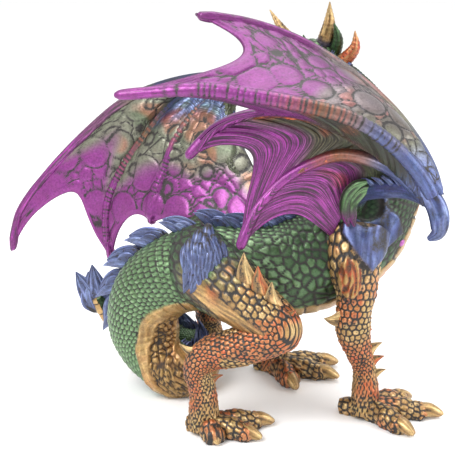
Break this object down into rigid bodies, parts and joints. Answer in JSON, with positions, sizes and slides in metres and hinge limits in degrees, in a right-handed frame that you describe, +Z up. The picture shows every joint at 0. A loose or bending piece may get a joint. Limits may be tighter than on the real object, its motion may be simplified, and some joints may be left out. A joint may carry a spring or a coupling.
{
  "type": "dragon statue",
  "caption": "Cast resin dragon standing on its clawed feet and looped tail, wings half spread, head turned back over its left shoulder.",
  "frame": {"origin": "on the ground under the middle of the figure's box", "axes": "+X the way the dragon walks, +Y to its left, +Z up"},
  "size_m": [0.1716, 0.1894, 0.1854],
  "materials": {
    "green_scales": "cast resin, metallic green paint over scales with a dark brown wash",
    "gold_limbs": "cast resin, antique gold paint with orange and a dark brown wash",
    "wing_skin": "cast resin, metallic magenta, green and lavender blue blended over the wing with a dark wash",
    "blue_fins": "cast resin, metallic lavender blue paint with a dark wash"
  },
  "bodies": {
    "root": {"dragon": "green_scales"}
  },
  "joints": []
}
